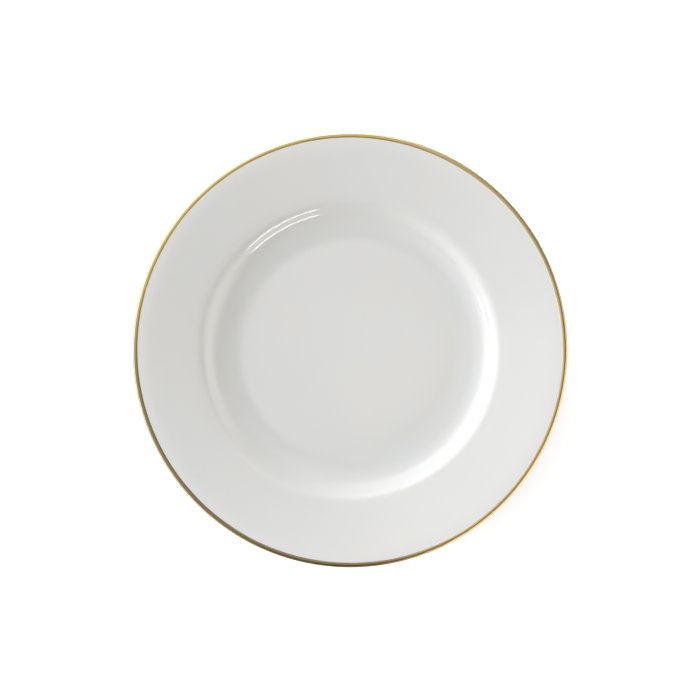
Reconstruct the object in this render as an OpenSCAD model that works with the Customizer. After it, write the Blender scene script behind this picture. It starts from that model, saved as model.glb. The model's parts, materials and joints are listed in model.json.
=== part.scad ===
// China dinner plate: a fired china body, the glaze coats on it, a gilded lip and a printed mark.
// Millimetres. The plate's axis is Z, +Z is up, and the foot ring stands on Z = 0.
// Every piece is turned about the axis from one half section of the plate.

/* [Plate] */
// Diameter over the gilded lip
plate_d = 270; // [262:1:280]
// Height of the well's floor above the table
floor_z = 7; // [6.6:0.1:7.6]

/* [Well] */
// Diameter at which the flat floor's line meets the bank's
floor_d = 145.5; // [144:0.5:147]
// Slope of the bank that rises out of the floor, in degrees
bank_slope = 22; // [20:0.5:24]
// Radius of the cove between the floor and the bank
cove_r = 37; // [32:1:39]

/* [Verge] */
// Diameter at which the bank's line meets the wall's
wall_d = 169; // [168:0.5:171]
// Slope of the wall, the steepest stretch, in degrees
wall_slope = 37; // [35:0.5:39]
// Radius of the hollow between the bank and the wall
heel_r = 20; // [16:1:21]
// Diameter at which the wall's line meets the rim's
shoulder_d = 186.5; // [185:0.5:188]
// Radius of the shoulder between the wall and the rim
shoulder_r = 11.5; // [10:0.5:13]
// Thickness across the bank and the wall
verge_t = 3.6; // [3.3:0.1:3.8]

/* [Rim] */
// Slope of the rim, in degrees
rim_slope = 9; // [8:0.5:10]
// Width of the flatter border along the lip
border_w = 7.5; // [6:0.5:9]
// Slope of that border, in degrees
border_slope = 4; // [3:0.5:5]
// Radius of the bend between the rim and the border
border_r = 60; // [40:5:80]
// Thickness of the rim at its shoulder
shoulder_t = 3.4; // [3.2:0.1:3.6]
// Thickness of the rim at the border
border_t = 3; // [2.9:0.1:3.2]
// Thickness of the rounded lip
lip_t = 2.6; // [2.4:0.1:2.8]

/* [Foot ring] */
// Outer diameter of the foot ring at the table
foot_d = 145; // [143:0.5:147]
// Width of the foot ring at the table
foot_w = 2.8; // [2.6:0.1:3.2]
// Depth of the recess inside the foot ring
recess_h = 3; // [2.8:0.1:3.4]
// Lean of the foot ring's walls from upright, in degrees
foot_draft = 12; // [8:1:15]
// Radius of the foot ring's lower edges
foot_edge_r = 0.6; // [0.5:0.05:0.7]
// Radius of the fillet round the outside of the foot ring
foot_fillet_r = 2; // [1.5:0.1:2.4]
// Radius of the fillet round the inside of the foot ring
recess_fillet_r = 1.5; // [1:0.1:1.8]

/* [Glaze] */
// Thickness of the glaze
glaze_t = 0.25; // [0.24:0.01:0.3]
// Height above the table at which the glaze stops, where the foot ring is left bare
glaze_stop_z = 0.7; // [0.6:0.05:1]

/* [Gilding] */
// Thickness of the gold band
gold_t = 0.2; // [0.2:0.01:0.25]
// Width of the gold band on the face, measured in from the lip's edge
gold_face_w = 2.7; // [2.2:0.1:3.2]
// Width of the gold band on the underside, measured in from the lip's edge
gold_back_w = 1.3; // [1.1:0.1:1.8]

/* [Printed mark] */
// Diameter of the mark's ring
mark_d = 24; // [18:1:30]
// Width of the mark's ring
mark_line_w = 0.6; // [0.4:0.1:1]
// Thickness of the print
mark_t = 0.1; // [0.08:0.01:0.15]
// Number of leaves in the rosette
mark_leaves = 8; // [5:1:12]

/* [Hidden] */
$fn = 180;
arc_step = 4; // largest angle between two points of an arc
far = plate_d; // beyond every part of the section
china_colour = [0.88, 0.86, 0.82];
glaze_colour = [0.93, 0.93, 0.91];
gold_colour = [0.85, 0.68, 0.32];

// Plane geometry: a point or a direction is [radius, height].
function along(slope) = [cos(slope), sin(slope)];
function right_of(v) = [v[1], -v[0]];
function cross_of(a, b) = a[0] * b[1] - a[1] * b[0];
function unit(v) = v / norm(v);
// The step from a corner to where the two edges' lines meet once both are moved sideways by 1
function mitre(u, v) = (right_of(u) + right_of(v)) / (1 + u * v);
// The point at a radius, on a line through p with a slope
function on_line(p, slope, radius) = [radius, p[1] + (radius - p[0]) * tan(slope)];

// The face's corners, from the well to the lip
lip_r = lip_t / 2;
lip_centre_x = plate_d / 2 - gold_t - lip_r;
face_floor = [floor_d / 2, floor_z];
face_heel = on_line(face_floor, bank_slope, wall_d / 2);
face_shoulder = on_line(face_heel, wall_slope, shoulder_d / 2);
face_border = on_line(face_shoulder, rim_slope, plate_d / 2 - border_w);
lip_centre = on_line(face_border, border_slope, lip_centre_x) - [0, lip_r / cos(border_slope)];
face_lip = lip_centre + lip_r * (along(border_slope) - right_of(along(border_slope)));

// The back's corners, from the lip to the foot ring: the face's, moved in by the thickness there
back_lip = face_lip + lip_t * right_of(along(border_slope));
back_border = face_border + border_t * mitre(along(rim_slope), along(border_slope));
back_shoulder = face_shoulder + shoulder_t * mitre(along(wall_slope), along(rim_slope));
back_heel = face_heel + verge_t * mitre(along(bank_slope), along(wall_slope));

// The foot ring's corners: the walls lean by foot_draft, and the outer one climbs to the bank's back
foot_out = foot_d / 2;
foot_in = foot_out - foot_w;
foot_mid = (foot_out + foot_in) / 2;
foot_top_z = (back_heel[1] + (foot_out - back_heel[0]) * tan(bank_slope))
    / (1 - tan(foot_draft) * tan(bank_slope));
foot_top = [foot_out + foot_top_z * tan(foot_draft), foot_top_z];
recess_corner = [foot_in - recess_h * tan(foot_draft), recess_h];

// The plate's outline as glazed, from the axis over the face, round the lip and back to the axis:
// each corner is [radius, height, radius of its round]
OUTLINE = [
    [0, floor_z, 0],
    [face_floor[0], face_floor[1], cove_r],
    [face_heel[0], face_heel[1], heel_r],
    [face_shoulder[0], face_shoulder[1], shoulder_r],
    [face_border[0], face_border[1], border_r],
    [face_lip[0], face_lip[1], lip_r],
    [back_lip[0], back_lip[1], lip_r],
    [back_border[0], back_border[1], border_r],
    [back_shoulder[0], back_shoulder[1], shoulder_r - shoulder_t],
    [back_heel[0], back_heel[1], heel_r + verge_t],
    [foot_top[0], foot_top[1], foot_fillet_r],
    [foot_out, 0, foot_edge_r],
    [foot_in, 0, foot_edge_r],
    [recess_corner[0], recess_corner[1], recess_fillet_r],
    [0, recess_h, 0],
];

// A line through the middle of the china, which parts the face's glaze from the back's
SPLIT = [
    [0, (floor_z + recess_h) / 2],
    [face_floor[0], (floor_z + recess_h) / 2],
    (face_heel + back_heel) / 2,
    (face_shoulder + back_shoulder) / 2,
    (face_border + back_border) / 2,
    lip_centre,
    on_line(lip_centre, border_slope, far),
];

function place(line, i) = [line[i][0], line[i][1]];
// The directions of the edges before and after a corner. An end has one edge, which counts twice
function edge(line, i) = unit(place(line, i + 1) - place(line, i));
function edge_in(line, i) = edge(line, max(i - 1, 0));
function edge_out(line, i) = edge(line, min(i, len(line) - 2));

// The outline moved into the china by depth, with every round kept on its own centre
function sunk(line, depth) = [
    for (i = [0 : len(line) - 1])
        let (
            u = edge_in(line, i),
            v = edge_out(line, i),
            p = place(line, i) + depth * mitre(u, v)
        )
        [p[0], p[1], line[i][2] + depth * sign(cross_of(u, v))]
];

// One corner's points: the arc of its round, or the corner itself where it has none
function rounded(line, i) =
    line[i][2] <= 0
    ? [place(line, i)]
    : let (
          u = edge_in(line, i),
          v = edge_out(line, i),
          side = sign(cross_of(u, v)),
          turn = acos(u * v),
          start = place(line, i) - line[i][2] * tan(turn / 2) * u,
          centre = start - side * line[i][2] * right_of(u),
          steps = ceil(turn / arc_step)
      )
      [
          for (k = [0 : steps])
              centre + side * line[i][2] * (
                  cos(turn * k / steps) * right_of(u) + side * sin(turn * k / steps) * u
              )
      ];

module section(depth) {
    line = sunk(OUTLINE, depth);
    polygon([for (i = [0 : len(line) - 1]) each rounded(line, i)]);
}

// The half planes and boxes that the section is cut with
module above_split() {
    polygon(concat(SPLIT, [[far, far], [0, far]]));
}

module below_split() {
    polygon(concat(SPLIT, [[far, -far], [0, -far]]));
}

module inside_of(radius) {
    translate([0, -far]) square([radius, 2 * far]);
}

module outside_of(radius) {
    translate([radius, -far]) square([far, 2 * far]);
}

module below_glaze() {
    translate([0, -far]) square([far, far + glaze_stop_z]);
}

// The china itself: short of the outline by the glaze, but up to it where the foot ring is bare
module china_section() {
    section(glaze_t);
    intersection() {
        section(0);
        below_glaze();
        outside_of(foot_in - foot_w);
    }
}

module glaze_section() {
    difference() {
        section(0);
        china_section();
    }
}

module china_body() {
    color(china_colour)
        rotate_extrude() china_section();
}

module face_glaze() {
    color(glaze_colour)
        rotate_extrude()
            intersection() {
                glaze_section();
                above_split();
            }
}

module back_glaze() {
    color(glaze_colour)
        rotate_extrude()
            intersection() {
                glaze_section();
                below_split();
                outside_of(foot_mid);
            }
}

module recess_glaze() {
    color(glaze_colour)
        rotate_extrude()
            intersection() {
                glaze_section();
                below_split();
                inside_of(foot_mid);
            }
}

// Where the band reaches: further in on the face than on the underside
module gilded_area() {
    intersection() {
        above_split();
        outside_of(plate_d / 2 - gold_face_w);
    }
    intersection() {
        below_split();
        outside_of(plate_d / 2 - gold_back_w);
    }
}

module gold_band() {
    color(gold_colour)
        rotate_extrude()
            intersection() {
                difference() {
                    section(-gold_t);
                    section(0);
                }
                gilded_area();
            }
}

// One pointed leaf of the rosette, where two circles cross
module leaf(length) {
    bow = length * 0.9;
    reach = sqrt(bow * bow - length * length / 4);
    intersection() {
        translate([0, reach]) circle(bow);
        translate([0, -reach]) circle(bow);
    }
}

// A plain rosette in a ring, printed under the well
module backstamp() {
    leaf_l = mark_d * 0.28;
    color(gold_colour)
        translate([0, 0, recess_h - mark_t])
            linear_extrude(mark_t) {
                difference() {
                    circle(d = mark_d);
                    circle(d = mark_d - 2 * mark_line_w);
                }
                for (i = [0 : mark_leaves - 1])
                    rotate(360 / mark_leaves * i)
                        translate([mark_d * 0.25, 0]) leaf(leaf_l);
                circle(d = mark_d * 0.1);
            }
}

china_body();
face_glaze();
back_glaze();
recess_glaze();
gold_band();
backstamp();
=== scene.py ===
"""A glazed china dinner plate with a gilded lip, in a plain white studio.

The plate is drawn as one half section and turned about its axis on a lathe of mesh operators. Lengths in
the classes are in millimetres, as a potter notes them; meshes and materials are in metres.
"""

import json
import logging
import math
from collections.abc import Sequence
from dataclasses import dataclass, field
from enum import Enum, IntEnum
from typing import Any

import bmesh
import bpy
from mathutils import Matrix, Vector, noise


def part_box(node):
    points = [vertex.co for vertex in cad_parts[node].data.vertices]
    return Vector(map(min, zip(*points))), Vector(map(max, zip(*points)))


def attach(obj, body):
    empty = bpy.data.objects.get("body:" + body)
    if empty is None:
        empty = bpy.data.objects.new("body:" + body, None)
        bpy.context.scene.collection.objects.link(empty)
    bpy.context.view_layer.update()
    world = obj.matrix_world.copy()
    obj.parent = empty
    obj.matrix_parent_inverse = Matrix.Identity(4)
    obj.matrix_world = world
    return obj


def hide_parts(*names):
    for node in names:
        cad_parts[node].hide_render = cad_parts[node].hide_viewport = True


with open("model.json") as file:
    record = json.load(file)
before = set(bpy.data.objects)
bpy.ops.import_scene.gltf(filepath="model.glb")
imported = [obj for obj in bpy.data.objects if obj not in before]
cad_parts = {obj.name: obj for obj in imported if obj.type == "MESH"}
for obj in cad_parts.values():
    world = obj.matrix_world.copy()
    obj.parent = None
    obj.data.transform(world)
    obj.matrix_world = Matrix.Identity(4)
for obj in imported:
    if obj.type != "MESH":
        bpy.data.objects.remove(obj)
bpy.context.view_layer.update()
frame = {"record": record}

LOG = logging.getLogger("plate")
MM = 0.001
FULL_CIRCLE_HALF = 180.0
Colour = tuple[float, float, float]
BLACK: Colour = (0.0, 0.0, 0.0)
WHITE: Colour = (1.0, 1.0, 1.0)
SILICATE_IOR = 1.5


# ----------------------------------------
# Shader graphs
# ----------------------------------------


class Wire:
    """One output socket of a shader graph, which takes part in Python arithmetic."""

    def __init__(self, graph: "Graph", socket: bpy.types.NodeSocket) -> None:
        """Keeps the socket and the graph that new nodes go into."""
        self.graph = graph
        self.socket = socket

    def _math(self, operation: str, first: "Wire | float", second: "Wire | float") -> "Wire":
        """Adds a Math node for one operation and returns its result."""
        return self.graph.node("ShaderNodeMath", {"operation": operation}, {0: first, 1: second})

    def __add__(self, other: "Wire | float") -> "Wire":
        """self + other."""
        return self._math("ADD", self, other)

    def __radd__(self, other: float) -> "Wire":
        """other + self."""
        return self._math("ADD", other, self)

    def __sub__(self, other: "Wire | float") -> "Wire":
        """self - other."""
        return self._math("SUBTRACT", self, other)

    def __rsub__(self, other: float) -> "Wire":
        """other - self."""
        return self._math("SUBTRACT", other, self)

    def __mul__(self, other: "Wire | float") -> "Wire":
        """self * other."""
        return self._math("MULTIPLY", self, other)

    def __rmul__(self, other: float) -> "Wire":
        """other * self."""
        return self._math("MULTIPLY", other, self)

    def __truediv__(self, other: "Wire | float") -> "Wire":
        """self / other."""
        return self._math("DIVIDE", self, other)

    def __abs__(self) -> "Wire":
        """abs(self)."""
        return self._math("ABSOLUTE", self, 0.0)

    def step(self, low: float, high: float) -> "Wire":
        """A smooth step of this value.

        Args:
            low: where the result is 0.
            high: where the result is 1. It may be under low, and the step then falls.

        Returns:
            A wire from 0 to 1.
        """
        ends = {"From Min": low, "From Max": high}
        if low > high:
            return 1.0 - self.step(high, low)
        return self.graph.node("ShaderNodeMapRange", {"interpolation_type": "SMOOTHSTEP"}, {0: self, **ends})

    def part(self, name: str) -> "Wire":
        """The X, Y or Z of a vector wire."""
        return self.graph.node("ShaderNodeSeparateXYZ", {}, {0: self}, output=name)


class Graph:
    """A node tree that is filled by expressions."""

    def __init__(self, tree: bpy.types.NodeTree) -> None:
        """Empties the tree and starts on it."""
        self.tree = tree
        tree.nodes.clear()

    def node(
        self,
        kind: str,
        settings: dict[str, Any] | None = None,
        inputs: dict[str | int, Any] | None = None,
        output: str | int = 0,
    ) -> Wire:
        """Adds one node.

        Args:
            kind: the node's type, such as ShaderNodeTexNoise.
            settings: its own properties, which are set first.
            inputs: a value or a wire for each socket, by identifier, name or number.
            output: the output wanted, by identifier, name or number.

        Returns:
            A wire from that output.
        """
        made = self.tree.nodes.new(kind)
        for name, value in (settings or {}).items():
            setattr(made, name, value)
        for key, value in (inputs or {}).items():
            socket = self._socket(made.inputs, key)
            if isinstance(value, Wire):
                self.tree.links.new(value.socket, socket)
            else:
                socket.default_value = value
        return Wire(self, self._socket(made.outputs, output))

    @staticmethod
    def _socket(sockets: Any, key: str | int) -> bpy.types.NodeSocket:
        """The socket with that identifier, name or number."""
        if isinstance(key, int):
            return sockets[key]
        for socket in sockets:
            if socket.identifier == key:
                return socket
        return sockets[key]

    def end(self, kind: str, shader: Wire) -> None:
        """Sends a shader to an output node of that kind, made here."""
        self.tree.links.new(shader.socket, self.tree.nodes.new(kind).inputs["Surface"])

    def place(self) -> Wire:
        """The point of the surface in the plate's own frame, in metres."""
        return self.node("ShaderNodeTexCoord", output="Object")

    def scaled(self, vector: Wire, scale: tuple[float, float, float]) -> Wire:
        """A vector with its parts multiplied by scale."""
        return self.node("ShaderNodeVectorMath", {"operation": "MULTIPLY"}, {0: vector, 1: scale})

    def joined(self, x: Wire | float, y: Wire | float, z: Wire | float) -> Wire:
        """A vector of three values."""
        return self.node("ShaderNodeCombineXYZ", {}, {"X": x, "Y": y, "Z": z})

    def radius(self, vector: Wire) -> Wire:
        """The distance of a point from the Z axis."""
        flat = self.scaled(vector, (1.0, 1.0, 0.0))
        return self.node("ShaderNodeVectorMath", {"operation": "LENGTH"}, {0: flat}, output="Value")

    def grain(self, vector: Wire, scale: float, detail: float = 2.0, rough: float = 0.5) -> Wire:
        """Noise from 0 to 1 over a vector.

        Args:
            vector: where the noise is read.
            scale: how many features there are to one unit of the vector.
            detail: how many finer layers are added.
            rough: how strong the finer layers are.

        Returns:
            The noise value.
        """
        values = {"Vector": vector, "Scale": scale, "Detail": detail, "Roughness": rough}
        return self.node("ShaderNodeTexNoise", {"noise_dimensions": "3D"}, values)

    def mix(self, share: Wire | float, first: "Colour | Wire", second: "Colour | Wire") -> Wire:
        """A colour between two colours.

        Args:
            share: 0 gives first and 1 gives second.
            first: a colour or a wire that carries one.
            second: a colour or a wire that carries one.

        Returns:
            The mixed colour.
        """
        ends = [c if isinstance(c, Wire) else (*c, 1.0) for c in (first, second)]
        values = {"Factor_Float": share, "A_Color": ends[0], "B_Color": ends[1]}
        return self.node("ShaderNodeMix", {"data_type": "RGBA"}, values, output="Result_Color")

    def bump(self, height: Wire, distance: float, under: "Wire | None" = None) -> Wire:
        """A normal bent by a height.

        Args:
            height: a value from 0 to 1.
            distance: how far 1 stands above 0, in metres.
            under: a normal that is bent already.

        Returns:
            The bent normal.
        """
        values: dict[str | int, Any] = {"Height": height, "Distance": distance, "Strength": 1.0}
        if under is not None:
            values["Normal"] = under
        return self.node("ShaderNodeBump", {}, values)


def dressed(name: str) -> tuple[bpy.types.Material, Graph]:
    """An empty node material and its graph."""
    material = bpy.data.materials.new(name)
    material.use_nodes = True
    return material, Graph(material.node_tree)


# ----------------------------------------
# Finishes
# ----------------------------------------


@dataclass(frozen=True)
class GlazeFinish:
    """Clear gloss glaze over white china."""

    name: str
    china: Colour = (0.80, 0.80, 0.79)
    thin: Colour = (0.81, 0.80, 0.78)
    pooled: Colour = (0.765, 0.785, 0.77)
    roughness: float = 0.05
    ripple_mm: float = 0.012
    skin_mm: float = 0.0005
    pool_radius_mm: float = 74.0
    pool_width_mm: float = 8.0
    pool_depth: float = 0.35

    def material(self) -> bpy.types.Material:
        """The glaze's material: its tint drifts with its thickness, and its skin ripples a little."""
        made, g = dressed(self.name)
        place = g.place()
        drift = g.grain(place, 24.0, 3.0)
        pool = abs(g.radius(place) - self.pool_radius_mm * MM).step(self.pool_width_mm * MM, 0.0)
        colour = g.mix(drift.step(0.35, 0.7), self.china, self.thin)
        colour = g.mix(pool * self.pool_depth, colour, self.pooled)
        polish = g.grain(place, 170.0, 4.0)
        ripple = g.bump(g.grain(place, 30.0, 1.0), self.ripple_mm * MM)
        skin = g.bump(g.grain(place, 1100.0, 2.0), self.skin_mm * MM, ripple)
        shader = g.node(
            "ShaderNodeBsdfPrincipled",
            {},
            {
                "Base Color": colour,
                "Roughness": self.roughness * (0.75 + 0.5 * polish),
                "IOR": SILICATE_IOR,
                "Normal": skin,
            },
        )
        g.end("ShaderNodeOutputMaterial", shader)
        return made


@dataclass(frozen=True)
class BareChinaFinish:
    """Fired china without glaze, ground flat where the plate stands."""

    name: str = "bare_china"
    clay: Colour = (0.70, 0.665, 0.60)
    ground: Colour = (0.585, 0.55, 0.495)
    roughness: float = 0.74
    grit_mm: float = 0.02
    worn_from_mm: float = 0.02
    worn_to_mm: float = 0.35

    def material(self) -> bpy.types.Material:
        """The bare foot's material: grainy, with grinding rings and shelf dust where it stands."""
        made, g = dressed(self.name)
        place = g.place()
        grit = g.grain(place, 2600.0, 4.0, 0.65)
        dust = g.grain(place, 180.0, 5.0, 0.6)
        ringed = g.joined(g.radius(place) * 5200.0, place.part("X") * 14.0, place.part("Y") * 14.0)
        rings = g.grain(ringed, 1.0, 2.0)
        low = place.part("Z").step(self.worn_to_mm * MM, self.worn_from_mm * MM)
        worn = low * dust.step(0.38, 0.68)
        shader = g.node(
            "ShaderNodeBsdfPrincipled",
            {},
            {
                "Base Color": g.mix(worn * 0.7, self.clay, self.ground),
                "Roughness": self.roughness + grit * 0.16 - low * 0.14,
                "IOR": SILICATE_IOR,
                "Normal": g.bump(grit * 0.6 + rings * low * 0.8, self.grit_mm * MM),
            },
        )
        g.end("ShaderNodeOutputMaterial", shader)
        return made


@dataclass(frozen=True)
class GildingFinish:
    """Painted gold, fired on and burnished, with the banding brush's rings left in it."""

    name: str = "burnished_gold"
    gold: Colour = (0.86, 0.68, 0.34)
    deep: Colour = (0.72, 0.54, 0.25)
    # Painted shade: the dark brown laid on one side of the gold line, where the lip mirrors dark surroundings
    painted_shade: Colour = (0.33, 0.255, 0.14)
    painted_shade_at: float = 232.0
    painted_shade_reach: tuple[float, float] = (0.3, 0.8)
    roughness: float = 0.30
    streak_mm: float = 0.004

    def material(self) -> bpy.types.Material:
        """The gold line's material: streaks run round the lip, and the tone drifts along it.

        One side of the line, round the azimuth that it is aimed at, is painted a darker brown. This is
        painted shade, for the dark surroundings that the lip mirrors there. The reach holds the cosines of
        the angles from that azimuth at which the painted shade begins and is whole.
        """
        made, g = dressed(self.name)
        place = g.place()
        x, y, z = (place.part(n) for n in "XYZ")
        streak = g.grain(g.joined(x * 45.0, y * 45.0, (g.radius(place) + z) * 5200.0), 1.0, 3.0, 0.6)
        tone = g.grain(place, 35.0, 3.0)
        fleck = g.grain(place, 2400.0, 3.0, 0.7)
        # Painted shade: the line turns dark brown on one side, for the dark surroundings that the lip mirrors
        # there
        shade_way = along(self.painted_shade_at)
        painted_shade = ((x * shade_way.x + y * shade_way.y) / g.radius(place)).step(*self.painted_shade_reach)
        colour = g.mix(tone.step(0.3, 0.75) * 0.5 + streak * 0.3, self.gold, self.deep)
        shader = g.node(
            "ShaderNodeBsdfPrincipled",
            {},
            {
                "Base Color": g.mix(painted_shade * (0.7 + 0.3 * streak), colour, self.painted_shade),
                "Metallic": 1.0,
                "Roughness": self.roughness * (0.75 + 0.3 * streak + 0.2 * fleck),
                "Normal": g.bump(streak * 0.7 + fleck * 0.3, self.streak_mm * MM),
            },
        )
        g.end("ShaderNodeOutputMaterial", shader)
        return made


@dataclass(frozen=True)
class PrintedGoldFinish:
    """Thin printed gold, satin and a little patchy."""

    name: str = "printed_gold"
    gold: Colour = (0.76, 0.57, 0.27)
    faded: Colour = (0.62, 0.50, 0.31)
    roughness: float = 0.40
    dot_mm: float = 0.01

    def material(self) -> bpy.types.Material:
        """The printed mark's material: the gold thins out in specks."""
        made, g = dressed(self.name)
        place = g.place()
        patch = g.grain(place, 420.0, 4.0, 0.6)
        speck = g.grain(place, 5200.0, 2.0, 0.6)
        thin = patch.step(0.45, 0.75) * 0.7 + speck.step(0.55, 0.8) * 0.3
        shader = g.node(
            "ShaderNodeBsdfPrincipled",
            {},
            {
                "Base Color": g.mix(thin, self.gold, self.faded),
                "Metallic": 1.0 - thin * 0.35,
                "Roughness": self.roughness + thin * 0.2,
                "Normal": g.bump(speck, self.dot_mm * MM),
            },
        )
        g.end("ShaderNodeOutputMaterial", shader)
        return made


@dataclass(frozen=True)
class SweepFinish:
    """The studio's white paper. It glows for the camera alone, which keeps it white and lights nothing."""

    name: str = "white_paper"
    paper: Colour = (0.86, 0.86, 0.86)
    fibre: Colour = (0.84, 0.84, 0.835)
    glow: float = 0.54

    def material(self) -> bpy.types.Material:
        """The paper's material. From below it is clear, so that the plate's underside can be looked at."""
        made, g = dressed(self.name)
        fibre = g.grain(g.place(), 300.0, 4.0)
        seen = g.node("ShaderNodeLightPath", output="Is Camera Ray")
        shader = g.node(
            "ShaderNodeBsdfPrincipled",
            {},
            {
                "Base Color": g.mix(fibre, self.paper, self.fibre),
                "Roughness": 0.9,
                "Specular IOR Level": 0.0,
                "Emission Color": g.mix(seen, BLACK, WHITE),
                "Emission Strength": self.glow,
            },
        )
        back = g.node("ShaderNodeNewGeometry", output="Backfacing")
        clear = g.node("ShaderNodeBsdfTransparent")
        g.end("ShaderNodeOutputMaterial", g.node("ShaderNodeMixShader", {}, {0: back, 1: shader, 2: clear}))
        return made


# ----------------------------------------
# The half section
# ----------------------------------------


def along(slope: float) -> Vector:
    """The direction (outwards, upwards) of a slope in degrees."""
    return Vector((math.cos(math.radians(slope)), math.sin(math.radians(slope))))


def right_of(way: Vector) -> Vector:
    """The direction a quarter turn clockwise from a way."""
    return Vector((way.y, -way.x))


def mitre(before: Vector, after: Vector) -> Vector:
    """The step from a corner to where its two edges' lines meet, once both have moved right by 1."""
    return (right_of(before) + right_of(after)) / (1.0 + before.dot(after))


def on_line(start: Vector, slope: float, radius: float) -> Vector:
    """The point at a radius on the line through start with a slope in degrees."""
    return Vector((radius, start.y + (radius - start.x) * math.tan(math.radians(slope))))


@dataclass(frozen=True)
class Corner:
    """A corner of the half section, and the radius that rounds it."""

    at: Vector
    round: float = 0.0


class Turn(IntEnum):
    """The corners of the plate's outline, from the middle of the well to the middle of the recess."""

    WELL_MIDDLE = 0
    FLOOR = 1
    HEEL = 2
    SHOULDER = 3
    BORDER = 4
    LIP_FACE = 5
    LIP_BACK = 6
    BACK_BORDER = 7
    BACK_SHOULDER = 8
    BACK_HEEL = 9
    FOOT_TOP = 10
    FOOT_OUT = 11
    FOOT_IN = 12
    RECESS = 13
    RECESS_MIDDLE = 14


class Wall(Enum):
    """The foot ring's two walls, with the sign of the way that each one leans."""

    OUTER = 1.0
    INNER = -1.0


def way_on(path: Sequence[Corner], i: int) -> Vector:
    """The unit direction from corner i to the next one. Past an end it is that of the end's own edge."""
    i = min(max(i, 0), len(path) - 2)
    return (path[i + 1].at - path[i].at).normalized()


def side_of(before: Vector, after: Vector) -> float:
    """1.0 where a path turns left, and -1.0 where it turns right."""
    return math.copysign(1.0, before.x * after.y - before.y * after.x)


def sunk(path: Sequence[Corner], depth: float) -> list[Corner]:
    """A path moved into the china, with each round kept on its own centre.

    Args:
        path: a path with the china on its right.
        depth: how far in, in millimetres. Less than 0 moves it out.

    Returns:
        The moved path.
    """
    moved = []
    for i, corner in enumerate(path):
        before, after = way_on(path, i - 1), way_on(path, i)
        radius = corner.round + depth * side_of(before, after) if corner.round else 0.0
        moved.append(Corner(corner.at + depth * mitre(before, after), radius))
    return moved


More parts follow.
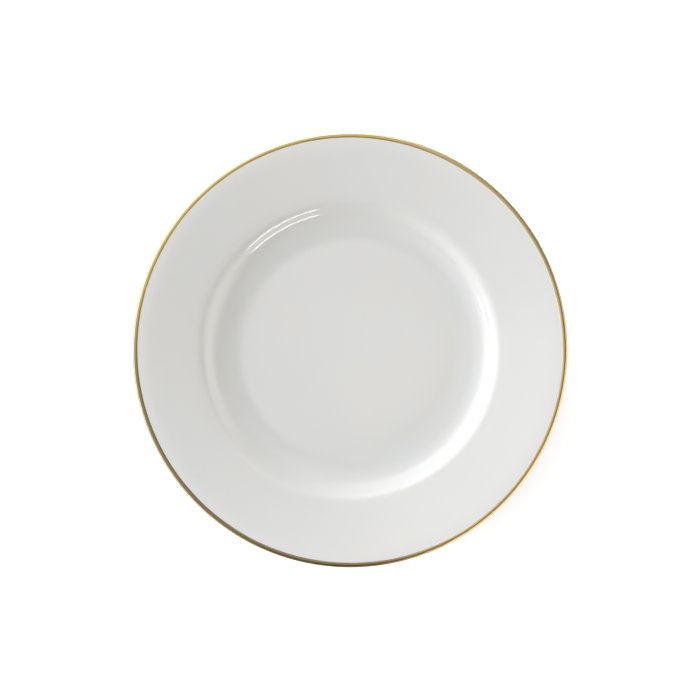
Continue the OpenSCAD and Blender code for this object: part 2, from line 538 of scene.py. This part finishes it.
@dataclass(frozen=True)
class PlateSection:
    """The glazed plate's half section, in millimetres and degrees."""

    plate_r: float
    floor_z: float
    recess_z: float
    foot_mid_r: float
    glaze_t: float
    glaze_stop_z: float
    gold_t: float
    floor_r: float = 72.75
    bank_slope: float = 22.0
    cove_r: float = 37.0
    wall_r: float = 84.5
    wall_slope: float = 37.0
    heel_r: float = 20.0
    shoulder_at_r: float = 93.25
    shoulder_r: float = 11.5
    verge_t: float = 3.6
    rim_slope: float = 9.0
    border_w: float = 7.5
    border_slope: float = 4.0
    border_r: float = 60.0
    shoulder_t: float = 3.4
    border_t: float = 3.0
    lip_t: float = 2.6
    foot_w: float = 2.8
    foot_draft: float = 12.0
    foot_edge_r: float = 0.6
    foot_fillet_r: float = 2.0
    recess_fillet_r: float = 1.5

    @classmethod
    def from_frame(cls, record: dict[str, Any]) -> "PlateSection":
        """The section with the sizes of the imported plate.

        Args:
            record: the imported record, whose mounts are the well's floor and the foot ring's base.

        Returns:
            The section.
        """
        mounts = {mount["name"]: mount["pos_m"] for mount in record["mounts"]}
        gold, face, back, mark = (
            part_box(name) for name in ("gold_band", "face_glaze", "back_glaze", "backstamp")
        )
        floor_z = mounts["well_floor"][2]
        return cls(
            plate_r=round(gold[1].y / MM, 1),
            floor_z=round(floor_z / MM, 2),
            recess_z=round(mark[1].z / MM, 2),
            foot_mid_r=round(mounts["foot_ring_base"][0] / MM, 2),
            glaze_t=round((floor_z - face[0].z) / MM, 2),
            glaze_stop_z=round(back[0].z / MM, 2),
            gold_t=round((gold[1].z - face[1].z) / MM, 2),
        )

    @property
    def lip_r(self) -> float:
        """Radius of the glazed lip."""
        return self.lip_t / 2

    @property
    def heel(self) -> Vector:
        """Where the bank's line meets the wall's."""
        return on_line(Vector((self.floor_r, self.floor_z)), self.bank_slope, self.wall_r)

    @property
    def shoulder(self) -> Vector:
        """Where the wall's line meets the rim's."""
        return on_line(self.heel, self.wall_slope, self.shoulder_at_r)

    @property
    def border(self) -> Vector:
        """Where the rim's line meets the border's."""
        return on_line(self.shoulder, self.rim_slope, self.plate_r - self.border_w)

    @property
    def lip_centre(self) -> Vector:
        """The middle of the lip's round."""
        drop = self.lip_r / math.cos(math.radians(self.border_slope))
        edge = on_line(self.border, self.border_slope, self.plate_r - self.gold_t - self.lip_r)
        return edge - Vector((0.0, drop))

    def outline(self) -> list[Corner]:
        """The glazed outline, over the face, round the lip and back under the plate, a Corner per Turn."""
        bank, wall, rim, border = (
            along(s) for s in (self.bank_slope, self.wall_slope, self.rim_slope, self.border_slope)
        )
        face_lip = self.lip_centre + self.lip_r * (border - right_of(border))
        back_heel = self.heel + self.verge_t * mitre(bank, wall)
        return [
            Corner(Vector((0.0, self.floor_z))),
            Corner(Vector((self.floor_r, self.floor_z)), self.cove_r),
            Corner(self.heel, self.heel_r),
            Corner(self.shoulder, self.shoulder_r),
            Corner(self.border, self.border_r),
            Corner(face_lip, self.lip_r),
            Corner(face_lip + self.lip_t * right_of(border), self.lip_r),
            Corner(self.border + self.border_t * mitre(rim, border), self.border_r),
            Corner(self.shoulder + self.shoulder_t * mitre(wall, rim), self.shoulder_r - self.shoulder_t),
            Corner(back_heel, self.heel_r + self.verge_t),
            Corner(self._foot_top(back_heel), self.foot_fillet_r),
            Corner(self.foot_wall(Wall.OUTER, 0.0), self.foot_edge_r),
            Corner(self.foot_wall(Wall.INNER, 0.0), self.foot_edge_r),
            Corner(self.foot_wall(Wall.INNER, self.recess_z), self.recess_fillet_r),
            Corner(Vector((0.0, self.recess_z))),
        ]

    def _foot_top(self, back_heel: Vector) -> Vector:
        """Where the foot ring's outer wall meets the back of the bank."""
        lean, climb = (math.tan(math.radians(a)) for a in (self.foot_draft, self.bank_slope))
        outer = self.foot_wall(Wall.OUTER, 0.0).x
        height = (back_heel.y + (outer - back_heel.x) * climb) / (1.0 - lean * climb)
        return self.foot_wall(Wall.OUTER, height)

    def foot_wall(self, wall: Wall, z: float) -> Vector:
        """The point at height z on one of the foot ring's walls."""
        out = self.foot_w / 2 + z * math.tan(math.radians(self.foot_draft))
        return Vector((self.foot_mid_r + wall.value * out, z))

    def glaze_end(self, wall: Wall) -> tuple[Vector, Vector]:
        """Where the glaze stops on a foot wall: the point on the bare wall, and the one under the glaze."""
        bare = self.foot_wall(wall, self.glaze_stop_z)
        step = self.glaze_t / math.cos(math.radians(self.foot_draft))
        return bare, bare - Vector((wall.value * step, 0.0))

    def lip_edge(self, depth: float) -> Vector:
        """The outermost point of the lip at a depth under the glaze's surface."""
        return self.lip_centre + (self.lip_r - depth) * along(self.border_slope)

    def around_lip(self, way: float, height: float) -> Vector:
        """A point beside the lip.

        Args:
            way: how far along the glaze's surface, from where the lip's round begins on the face.
                Less than 0 lies on the border, and more than 0 goes round the lip to the back.
            height: how far above the glaze.

        Returns:
            The point.
        """
        border = along(self.border_slope)
        turn = min(max(way / self.lip_r, 0.0), math.pi)
        out = along(self.border_slope + 90.0 - math.degrees(turn))
        past = way - turn * self.lip_r
        straight = border * past if turn == 0.0 else -border * past
        return self.lip_centre + (self.lip_r + height) * out + straight


# ----------------------------------------
# The lathe
# ----------------------------------------


class Lathe:
    """Draws a half section from point to point, and turns it about the plate's axis."""

    MERGE = 2e-6
    WEDGES = 16

    def __init__(self, start: Vector, steps: int = 288) -> None:
        """Puts the first point down.

        Args:
            start: the first point, in millimetres.
            steps: how many steps make the full turn.
        """
        self.bm = bmesh.new()
        self.first = self.tip = self.bm.verts.new(self._point(start))
        self.steps = steps
        self.pitch = 1.0
        self.arc_step = 6.0

    @staticmethod
    def _point(at: Vector) -> Vector:
        """A section point as a point of the mesh, in metres."""
        return Vector((at.x * MM, 0.0, at.y * MM))

    def stride(self, pitch: float, arc_step: float) -> "Lathe":
        """Sets how finely it draws from here on.

        Args:
            pitch: the longest stretch between two points, in millimetres.
            arc_step: the largest turn between two points of an arc, in degrees.

        Returns:
            The same lathe.
        """
        self.pitch, self.arc_step = pitch, arc_step
        return self

    def line(self, to: Vector) -> None:
        """Draws straight on to a point."""
        begin, goal = self.tip.co.copy(), self._point(to)
        length = (goal - begin).length
        if length < self.MERGE:
            return
        count = math.ceil(length / (self.pitch * MM))
        for i in range(1, count + 1):
            self.tip = bmesh.ops.extrude_vert_indiv(self.bm, verts=[self.tip])["verts"][0]
            self.tip.co = begin.lerp(goal, i / count)

    def arc(self, centre: Vector, turn: float) -> None:
        """Turns the tip about a centre, by an angle in radians that is above 0 to the left."""
        middle = self._point(centre)
        length = (self.tip.co - middle).length * abs(turn)
        steps = max(math.ceil(math.degrees(abs(turn)) / self.arc_step), math.ceil(length / (self.pitch * MM)))
        spun = bmesh.ops.spin(
            self.bm, geom=[self.tip], cent=middle, axis=(0.0, -1.0, 0.0), angle=turn, steps=steps
        )
        self.tip = spun["geom_last"][0]

    def follow(self, path: Sequence[Corner]) -> list[bmesh.types.BMVert]:
        """Draws a path of corners with their rounds, from where the tip is.

        Args:
            path: the corners. The tip is at the first one already.

        Returns:
            The points that were drawn, in no order.
        """
        known = set(self.bm.verts)
        for i in range(1, len(path) - 1):
            corner, before, after = path[i], way_on(path, i - 1), way_on(path, i)
            turn, side = before.angle(after), side_of(before, after)
            tangent = corner.at - corner.round * math.tan(turn / 2) * before
            self.line(tangent)
            if corner.round > 0.0:
                self.arc(tangent - side * corner.round * right_of(before), side * turn)
        self.line(path[-1].at)
        return [v for v in self.bm.verts if v not in known]

    def ease(self, points: Sequence[bmesh.types.BMVert], passes: int) -> None:
        """Lets arcs and straights run into each other, as a glaze does.

        Args:
            points: the points that may move.
            passes: how often each one moves halfway to the middle of its neighbours.
        """
        for _ in range(passes):
            bmesh.ops.smooth_vert(
                self.bm, verts=points, factor=0.5, use_axis_x=True, use_axis_y=False, use_axis_z=True
            )

    def closed(self) -> "Lathe":
        """Joins the tip to the first point, for a ring that stays clear of the axis."""
        self.bm.edges.new((self.tip, self.first))
        return self

    def turned(self) -> bmesh.types.BMesh:
        """The section turned all the way round, with its poles closed and its faces outwards.

        One wedge is spun from the section, and the rest are its copies, which is quick.
        """
        wedge = math.tau / self.WEDGES
        about = {"cent": (0.0, 0.0, 0.0), "axis": (0.0, 0.0, 1.0)}
        section = self.bm.verts[:] + self.bm.edges[:]
        bmesh.ops.spin(self.bm, geom=section, angle=wedge, steps=self.steps // self.WEDGES, **about)
        bmesh.ops.remove_doubles(self.bm, verts=self.bm.verts[:], dist=self.MERGE)
        copied = self.bm.verts[:] + self.bm.edges[:] + self.bm.faces[:]
        bmesh.ops.spin(
            self.bm, geom=copied, angle=math.tau - wedge, steps=self.WEDGES - 1, use_duplicate=True, **about
        )
        bmesh.ops.remove_doubles(self.bm, verts=self.bm.verts[:], dist=self.MERGE)
        bmesh.ops.recalc_face_normals(self.bm, faces=self.bm.faces[:])
        return self.bm


def finished(
    name: str, bm: bmesh.types.BMesh, material: bpy.types.Material, sharp: float = 40.0
) -> bpy.types.Object:
    """Makes an object of a mesh.

    Args:
        name: the piece's name.
        bm: its shape, which is used up.
        material: its finish.
        sharp: an edge that bends by more than this, in degrees, stays crisp.

    Returns:
        The object, at the origin.
    """
    mesh = bpy.data.meshes.new(name)
    bm.to_mesh(mesh)
    bm.free()
    mesh.shade_smooth()
    mesh.set_sharp_from_angle(angle=math.radians(sharp))
    mesh.materials.append(material)
    piece = bpy.data.objects.new(name, mesh)
    bpy.context.scene.collection.objects.link(piece)
    return piece


def settled(piece: bpy.types.Object, node: str) -> bpy.types.Object:
    """Puts a piece in the place of a CAD node, on the plate's one body.

    Args:
        piece: the new piece.
        node: the CAD node that it stands for.

    Returns:
        The piece.
    """
    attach(piece, "root")
    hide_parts(node)
    return piece


# ----------------------------------------
# The plate's pieces
# ----------------------------------------


@dataclass
class ChinaBody:
    """The fired china, which shows where the foot ring is bare."""

    section: PlateSection
    step_round: float = 0.08
    pitch: float = 2.5
    arc_step: float = 5.0
    foot_pitch: float = 0.3
    foot_arc_step: float = 10.0
    finish: BareChinaFinish = field(default_factory=BareChinaFinish)

    def build(self) -> bpy.types.Object:
        """Turns the china from its own outline, which lies one glaze thickness inside the plate's."""
        s = self.section
        outline, under = s.outline(), sunk(s.outline(), s.glaze_t)
        outer_bare, outer_hidden = s.glaze_end(Wall.OUTER)
        inner_bare, inner_hidden = s.glaze_end(Wall.INNER)
        foot = [
            Corner(outer_hidden),
            Corner(outer_bare, self.step_round),
            *outline[Turn.FOOT_OUT : Turn.FOOT_IN + 1],
            Corner(inner_bare, self.step_round),
            Corner(inner_hidden),
        ]
        lathe = Lathe(under[0].at).stride(self.pitch, self.arc_step)
        lathe.follow([*under[: Turn.FOOT_TOP + 1], Corner(outer_hidden)])
        lathe.stride(self.foot_pitch, self.foot_arc_step).follow(foot)
        lathe.stride(self.pitch, self.arc_step).follow([Corner(inner_hidden), *under[Turn.RECESS :]])
        piece = finished("fired_china", lathe.turned(), self.finish.material())
        return settled(piece, "china_body")


class Coat(Enum):
    """The three coats of glaze, each with its piece's name and the CAD node that it stands for."""

    FACE = ("glaze_on_face", "face_glaze")
    BACK = ("glaze_on_back", "back_glaze")
    RECESS = ("glaze_in_recess", "recess_glaze")


@dataclass
class Glaze:
    """The glaze, in three coats that the lip and the bare foot ring keep apart."""

    section: PlateSection
    roll_r: float = 0.16
    ease_passes: int = 6
    ease_margin: float = 4.0
    fillet_margin: float = 2.0
    pitch: float = 1.0
    recess_pitch: float = 1.5
    arc_step: float = 6.0
    hidden_pitch: float = 5.0
    hidden_arc_step: float = 10.0
    face_finish: GlazeFinish = GlazeFinish("face_gloss")
    back_finish: GlazeFinish = GlazeFinish("back_gloss", pool_radius_mm=76.0, pool_width_mm=5.0)

    def build(self, coat: Coat) -> bpy.types.Object:
        """Turns one of the three coats."""
        draw = {Coat.FACE: self._face, Coat.BACK: self._back, Coat.RECESS: self._recess}[coat]
        finish = self.face_finish if coat is Coat.FACE else self.back_finish
        name, node = coat.value
        return settled(finished(name, draw().turned(), finish.material()), node)

    def _face(self) -> Lathe:
        """From the middle of the well to the lip's edge, and back along the china."""
        s = self.section
        outline = s.outline()
        lathe = Lathe(outline[0].at).stride(self.pitch, self.arc_step)
        shown = lathe.follow([*outline[: Turn.LIP_FACE + 1], Corner(s.lip_edge(0.0))])
        limit = (s.plate_r - self.ease_margin) * MM
        lathe.ease([v for v in shown if v.co.x < limit], self.ease_passes)
        under = sunk(outline, s.glaze_t)[: Turn.LIP_FACE + 1]
        lathe.stride(self.hidden_pitch, self.hidden_arc_step).line(s.lip_edge(s.glaze_t))
        lathe.follow([Corner(s.lip_edge(s.glaze_t)), *reversed(under)])
        return lathe

    def _back(self) -> Lathe:
        """From the lip's edge to the foot ring's outer wall, where it ends in a roll, and back."""
        s = self.section
        outline = s.outline()
        bare, hidden = s.glaze_end(Wall.OUTER)
        lathe = Lathe(s.lip_edge(0.0)).stride(self.pitch, self.arc_step)
        backs = outline[Turn.LIP_BACK : Turn.FOOT_TOP + 1]
        shown = lathe.follow([Corner(s.lip_edge(0.0)), *backs, Corner(bare, self.roll_r), Corner(hidden)])
        low, high = outline[Turn.FOOT_TOP].at.x + self.fillet_margin, s.plate_r - self.ease_margin
        lathe.ease([v for v in shown if low * MM < v.co.x < high * MM], self.ease_passes)
        under = sunk(outline, s.glaze_t)[Turn.LIP_BACK : Turn.FOOT_TOP + 1]
        lathe.stride(self.hidden_pitch, self.hidden_arc_step)
        lathe.follow([Corner(hidden), *reversed(under), Corner(s.lip_edge(s.glaze_t))])
        return lathe.closed()

    def _recess(self) -> Lathe:
        """From the middle of the recess along the china to the foot ring's inner wall, and back outside."""
        s = self.section
        outline = s.outline()
        bare, hidden = s.glaze_end(Wall.INNER)
        under = sunk(outline, s.glaze_t)[Turn.RECESS :]
        lathe = Lathe(under[-1].at).stride(self.hidden_pitch, self.hidden_arc_step)
        lathe.follow([*reversed(under), Corner(hidden)])
        lathe.stride(self.recess_pitch, self.arc_step)
        lathe.follow([Corner(hidden), Corner(bare, self.roll_r), *outline[Turn.RECESS :]])
        return lathe


@dataclass
class GoldBand:
    """The gold line, painted round the lip with a banding brush.

    The bead is its edge's profile: how far in from the edge, in millimetres, and the share of the gold's
    thickness there. It begins a little under the glaze's surface.
    """

    section: PlateSection
    face_w: float = 3.0
    back_w: float = 1.3
    sink: float = 0.05
    steps: int = 720
    waver: float = 0.10
    waver_reach: float = 1.0
    waver_length: float = 14.0
    bead: tuple[tuple[float, float], ...] = (
        (0.0, -0.4), (0.03, 0.25), (0.12, 0.5), (0.3, 0.75), (0.6, 0.92), (1.0, 1.0),
    )
    lip_steps: int = 12
    under_steps: int = 11
    pitch: float = 1.0
    arc_step: float = 10.0
    finish: GildingFinish = field(default_factory=GildingFinish)

    def build(self) -> bpy.types.Object:
        """Turns the line as a low bead that wraps the lip, then lets its inner edge waver."""
        s = self.section
        begin = s.lip_centre.x - (s.plate_r - self.face_w)
        end = s.lip_r * (math.pi - math.asin((s.plate_r - self.back_w - s.lip_centre.x) / s.lip_r))
        crest = [(-begin + way, s.gold_t * rise) for way, rise in self.bead]
        crest += [(end * i / self.lip_steps, s.gold_t) for i in range(1, self.lip_steps - 2)]
        crest += [(end - way, s.gold_t * rise) for way, rise in reversed(self.bead[:-1])]
        lathe = Lathe(s.around_lip(*crest[0]), self.steps).stride(self.pitch, self.arc_step)
        for way, height in crest[1:]:
            lathe.line(s.around_lip(way, height))
        for i in range(self.under_steps - 1, 0, -1):
            lathe.line(s.around_lip(-begin + (end + begin) * i / self.under_steps, -self.sink))
        bm = lathe.closed().turned()
        self._waver(bm)
        piece = finished("gold_line", bm, self.finish.material(), sharp=75.0)
        return settled(piece, "gold_band")

    def _waver(self, bm: bmesh.types.BMesh) -> None:
        """Moves the line's inner edge in and out along the border."""
        s = self.section
        inner = (s.plate_r - self.face_w) * MM
        border = along(s.border_slope)
        for v in bm.verts:
            radius = math.hypot(v.co.x, v.co.y)
            near = 1.0 - (radius - inner) / (self.waver_reach * MM)
            if near <= 0.0 or v.co.z < s.lip_centre.y * MM:
                continue
            out = Vector((v.co.x, v.co.y, 0.0)) / radius
            spot = out * s.plate_r / self.waver_length
            move = noise.noise(spot) * self.waver * MM * min(near, 1.0)
            v.co += out * border.x * move + Vector((0.0, 0.0, border.y * move))


@dataclass
class Backstamp:
    """The plain rosette printed under the well."""

    section: PlateSection
    mark_r: float = 12.0
    line_w: float = 0.6
    thickness: float = 0.1
    leaves: int = 8
    leaf_l: float = 6.72
    leaf_from: float = 2.64
    leaf_bow: float = 6.05
    rib_w: float = 0.16
    inner_ring_r: float = 10.9
    inner_ring_w: float = 0.22
    dot_r: float = 0.42
    dot_at: float = 8.2
    centre_r: float = 1.2
    ring_steps: int = 180
    centre_steps: int = 48
    dot_steps: int = 20
    leaf_steps: int = 16
    edge_share: float = 0.35
    weld_m: float = 1e-7
    finish: PrintedGoldFinish = field(default_factory=PrintedGoldFinish)

    def build(self) -> bpy.types.Object:
        """Prints two rings, the split leaves, the dots between them and the centre dot."""
        bm = bmesh.new()
        self._ring(bm, self.mark_r - self.line_w, self.mark_r)
        self._ring(bm, self.inner_ring_r - self.inner_ring_w, self.inner_ring_r)
        self._disc(bm, Vector((0.0, 0.0)), self.centre_r, self.centre_steps)
        self._repeated(bm, self._leaf(bm))
        offset = math.pi / self.leaves
        dot = Vector((math.cos(offset), math.sin(offset))) * self.dot_at
        self._repeated(bm, self._disc(bm, dot, self.dot_r, self.dot_steps))
        self._raise(bm)
        piece = finished("gold_mark", bm, self.finish.material(), sharp=30.0)
        return settled(piece, "backstamp")

    @property
    def _print_z(self) -> float:
        """Height of the glaze that the mark is printed on, in metres."""
        return self.section.recess_z * MM

    def _ring(self, bm: bmesh.types.BMesh, inner: float, outer: float) -> None:
        """Adds a flat ring, spun from one short edge."""
        ends = [bm.verts.new((r * MM, 0.0, self._print_z)) for r in (inner, outer)]
        edge = bm.edges.new(ends)
        bmesh.ops.spin(
            bm,
            geom=[*ends, edge],
            cent=(0.0, 0.0, 0.0),
            axis=(0.0, 0.0, 1.0),
            angle=math.tau,
            steps=self.ring_steps,
            use_merge=True,
        )

    def _disc(
        self, bm: bmesh.types.BMesh, at: Vector, radius: float, segments: int
    ) -> list[bmesh.types.BMFace]:
        """Adds a flat disc.

        Args:
            bm: the mark's mesh.
            at: the disc's middle, in millimetres.
            radius: its radius, in millimetres.
            segments: how many sides it has.

        Returns:
            Its face, in a list.
        """
        place = Matrix.Translation((at.x * MM, at.y * MM, self._print_z))
        made = bmesh.ops.create_circle(
            bm, cap_ends=True, cap_tris=False, segments=segments, radius=radius * MM, matrix=place
        )
        return list({face for v in made["verts"] for face in v.link_faces})

    def _leaf(self, bm: bmesh.types.BMesh) -> list[bmesh.types.BMFace]:
        """Adds one pointed leaf of two halves, with the bare midrib between them."""
        half = self.leaf_l / 2
        drop = math.sqrt(self.leaf_bow**2 - half**2)
        bow = math.asin(half / self.leaf_bow)
        middle = self.leaf_from + half
        tip = bm.verts.new(((middle + half) * MM, self.rib_w / 2 * MM, self._print_z))
        centre = (middle * MM, (self.rib_w / 2 - drop) * MM, self._print_z)
        known = set(bm.verts) - {tip}
        axis = (0.0, 0.0, 1.0)
        bmesh.ops.spin(bm, geom=[tip], cent=centre, axis=axis, angle=2 * bow, steps=self.leaf_steps)
        verts = [v for v in bm.verts if v not in known]
        upper = bm.faces.new(sorted(verts, key=lambda v: -v.co.x))
        geom = [upper, *upper.verts, *upper.edges]
        mirrored = bmesh.ops.mirror(bm, geom=geom, axis="Y", merge_dist=-1.0)["geom"]
        return [upper, *(f for f in mirrored if isinstance(f, bmesh.types.BMFace) and f is not upper)]

    def _repeated(self, bm: bmesh.types.BMesh, faces: Sequence[bmesh.types.BMFace]) -> None:
        """Repeats faces round the axis, once for each leaf."""
        geom = [*faces, *{v for f in faces for v in f.verts}, *{e for f in faces for e in f.edges}]
        bmesh.ops.spin(
            bm,
            geom=geom,
            cent=(0.0, 0.0, 0.0),
            axis=(0.0, 0.0, 1.0),
            angle=math.tau * (self.leaves - 1) / self.leaves,
            steps=self.leaves - 1,
            use_duplicate=True,
        )

    def _raise(self, bm: bmesh.types.BMesh) -> None:
        """Gives the flat print its thickness, downwards, with softened edges."""
        bmesh.ops.remove_doubles(bm, verts=bm.verts[:], dist=self.weld_m)
        grown = bmesh.ops.extrude_face_region(bm, geom=bm.faces[:], use_keep_orig=True)
        lower = [item for item in grown["geom"] if isinstance(item, bmesh.types.BMVert)]
        bmesh.ops.translate(bm, verts=lower, vec=(0.0, 0.0, -self.thickness * MM))
        bmesh.ops.recalc_face_normals(bm, faces=bm.faces[:])
        printed = set(lower)
        rims = [e for e in bm.edges if set(e.verts) <= printed and e.calc_face_angle(0.0) > 1.0]
        bmesh.ops.bevel(
            bm,
            geom=rims,
            offset=self.thickness * self.edge_share * MM,
            offset_type="OFFSET",
            segments=2,
            profile=0.5,
            affect="EDGES",
            clamp_overlap=True,
            material=-1,
        )


@dataclass
class Plate:
    """The whole plate: the china, its three coats of glaze, the gold line and the printed mark."""

    section: PlateSection

    def build(self) -> list[bpy.types.Object]:
        """Builds the pieces in the order in which a pottery makes them."""
        glaze = Glaze(self.section)
        pieces = [ChinaBody(self.section).build()]
        pieces += [glaze.build(coat) for coat in Coat]
        pieces += [GoldBand(self.section).build(), Backstamp(self.section).build()]
        return pieces


# ----------------------------------------
# The studio
# ----------------------------------------


@dataclass(frozen=True)
class Softbox:
    """A patch of the studio's dome that shines, on one of the dome's tiers.

    Angles are in degrees. An azimuth is counted from +X towards +Y. Over a stretch of twice the feather the
    light fades out at each end, and a half width of half a circle goes all the way round.
    """

    tier: int
    azimuth: float
    half_width: float
    feather: float
    radiance: float

    def light(self, dome: "DomeSight") -> Wire:
        """How brightly it shines where the dome is looked at.

        Args:
            dome: the direction that the dome is looked at in.

        Returns:
            The radiance.
        """
        shining = dome.on_tier(self.tier) * self.radiance
        if self.half_width >= FULL_CIRCLE_HALF:
            return shining
        outer, inner = (
            math.cos(math.radians(min(FULL_CIRCLE_HALF, max(0.0, self.half_width + side * self.feather))))
            for side in (1.0, -1.0)
        )
        return dome.facing(self.azimuth).step(outer, inner) * shining


@dataclass(frozen=True)
class Strip:
    """A narrow bright tube hung in the dome, with crisp edges. Angles are in degrees."""

    azimuth: float
    half_width: float
    elevation: float
    half_height: float
    radiance: float
    edge: float = 0.6
    taper: float = 2.5

    def light(self, dome: "DomeSight") -> Wire:
        """How brightly it shines where the dome is looked at.

        Args:
            dome: the direction that the dome is looked at in.

        Returns:
            The radiance.
        """
        beside, inside = (
            math.cos(math.radians(self.half_width + side * self.taper)) for side in (1.0, -1.0)
        )
        across = dome.facing(self.azimuth).step(beside, inside)
        off = abs(dome.elevation - self.elevation)
        return across * off.step(self.half_height + self.edge, self.half_height - self.edge) * self.radiance


class DomeSight:
    """A direction in which the studio's dome is looked at, as wires of the world's graph."""

    TIERS = (0.0, 8.0, 16.0, 24.0, 34.0, 46.0, 60.0, 75.0, 90.0)
    TOP = 8
    POLE_RADIUS = 1e-4

    def __init__(self, g: Graph) -> None:
        """Splits the direction into its parts."""
        self.g = g
        way = g.node("ShaderNodeTexCoord", output="Generated")
        self.x, self.y, self.z = (way.part(n) for n in "XYZ")
        self.flat = g.radius(way) + self.POLE_RADIUS
        self.elevation = g.node("ShaderNodeMath", {"operation": "ARCSINE"}, {0: self.z}) * math.degrees(1.0)

    def facing(self, azimuth: float) -> Wire:
        """The cosine of the angle between this direction and an azimuth, seen from above."""
        aim = along(azimuth)
        return (self.x * aim.x + self.y * aim.y) / self.flat

    def on_tier(self, tier: int) -> Wire:
        """1 on a tier, falling evenly to 0 at the tiers under and over it."""
        middle = self.TIERS[tier]
        under = self.TIERS[tier - 1] if tier > 0 else middle - self.TIERS[1]
        rising = (self.elevation - under) * (1.0 / (middle - under))
        if tier == self.TOP:
            return self._between(rising)
        falling = (self.TIERS[tier + 1] - self.elevation) * (1.0 / (self.TIERS[tier + 1] - middle))
        lower = self.g.node("ShaderNodeMath", {"operation": "MINIMUM"}, {0: rising, 1: falling})
        return self._between(lower)

    def _between(self, value: Wire) -> Wire:
        """A value held between 0 and 1."""
        return self.g.node("ShaderNodeClamp", {}, {"Value": value})


@dataclass
class Studio:
    """The white sweep, the dome of lights and the camera over the plate."""

    section: PlateSection
    sweep_size: float = 3.0
    lights: tuple[Softbox | Strip, ...] = (
        # Low walls of light behind the plate and at its left, one reaching further round the back
        Softbox(0, 155.0, 75.0, 10.0, 5.0),
        Softbox(0, 110.0, 75.0, 10.0, 5.0),
        # Two bright boxes just over those walls, at the front left and at the back
        Softbox(1, 210.0, 30.0, 10.0, 6.5),
        Softbox(1, 100.0, 20.0, 10.0, 6.5),
        # The right side, from low down to half way up
        Softbox(2, 335.0, 30.0, 20.0, 4.5),
        Softbox(2, 305.0, 25.0, 15.0, 1.5),
        Softbox(3, 355.0, 25.0, 25.0, 2.4),
        Softbox(4, 340.0, 15.0, 10.0, 1.7),
        # The main light at the left and the back, broad and soft
        Softbox(3, 160.0, 55.0, 55.0, 3.4),
        Softbox(4, 145.0, 45.0, 45.0, 3.5),
        Softbox(5, 150.0, 90.0, 10.0, 1.0),
        # Fill high up, evenest overhead
        Softbox(6, 75.0, 35.0, 20.0, 0.7),
        Softbox(6, 270.0, 25.0, 20.0, 0.3),
        Softbox(6, 315.0, 15.0, 10.0, 0.3),
        Softbox(7, 145.0, 80.0, 30.0, 0.45),
        Softbox(7, 145.0, 45.0, 15.0, 0.7),
        Softbox(8, 0.0, FULL_CIRCLE_HALF, 0.0, 1.2),
        # The tubes that the verge mirrors as thin double lines and streaks
        Strip(299.0, 15.5, 23.9, 1.0, 12.0),
        Strip(197.0, 3.0, 23.9, 1.0, 20.0),
    )
    backdrop: Colour = (0.90, 0.90, 0.90)
    key_tint: Colour = (0.985, 1.0, 1.015)
    fill_tint: Colour = (1.03, 1.005, 0.95)
    key_azimuth: float = 155.0
    tint_turn: float = 0.5
    lens_mm: float = 85.0
    sensor_mm: float = 36.0
    frame_width: float = 0.4343
    sweep_finish: SweepFinish = field(default_factory=SweepFinish)

    def build(self) -> None:
        """Sets up the sweep, the light and the camera."""
        self._sweep()
        self._light()
        self._camera()

    def _sweep(self) -> None:
        """Lays the white paper under the plate."""
        bm = bmesh.new()
        bmesh.ops.create_grid(bm, x_segments=1, y_segments=1, size=self.sweep_size)
        floor = finished("white_sweep", bm, self.sweep_finish.material())

    def _light(self) -> None:
        """Fills the dome with the lights, and shows the camera a plain pale backdrop in their place."""
        world = bpy.data.worlds.new("studio_dome")
        world.use_nodes = True
        bpy.context.scene.world = world
        g = Graph(world.node_tree)
        dome = DomeSight(g)
        total: Wire | float = 0.0
        for light in self.lights:
            total = light.light(dome) + total
        key_side = dome.facing(self.key_azimuth).step(-self.tint_turn, self.tint_turn)
        tint = g.mix(key_side, self.fill_tint, self.key_tint)
        lit = g.node("ShaderNodeBackground", {}, {"Color": tint, "Strength": total})
        plain = g.node("ShaderNodeBackground", {}, {"Color": (*self.backdrop, 1.0), "Strength": 1.0})
        seen = g.node("ShaderNodeLightPath", output="Is Camera Ray")
        g.end("ShaderNodeOutputWorld", g.node("ShaderNodeMixShader", {}, {0: seen, 1: lit, 2: plain}))

    def _camera(self) -> None:
        """Hangs the camera straight above the plate."""
        scene = bpy.context.scene
        data = bpy.data.cameras.new("overhead")
        data.lens, data.sensor_width = self.lens_mm, self.sensor_mm
        camera = bpy.data.objects.new("overhead", data)
        rim_z = (self.section.lip_centre.y + self.section.lip_r) * MM
        camera.location = (0.0, 0.0, rim_z + self.frame_width * self.lens_mm / self.sensor_mm)
        scene.collection.objects.link(camera)
        scene.camera = camera
        scene.view_settings.view_transform = "Standard"


def main() -> None:
    """Builds the plate and the studio around it."""
    logging.basicConfig(level=logging.INFO, format="%(name)s: %(message)s")
    section = PlateSection.from_frame(frame["record"])
    LOG.info("section: %s", section)
    Plate(section).build()
    Studio(section).build()


if __name__ == "__main__":
    main()
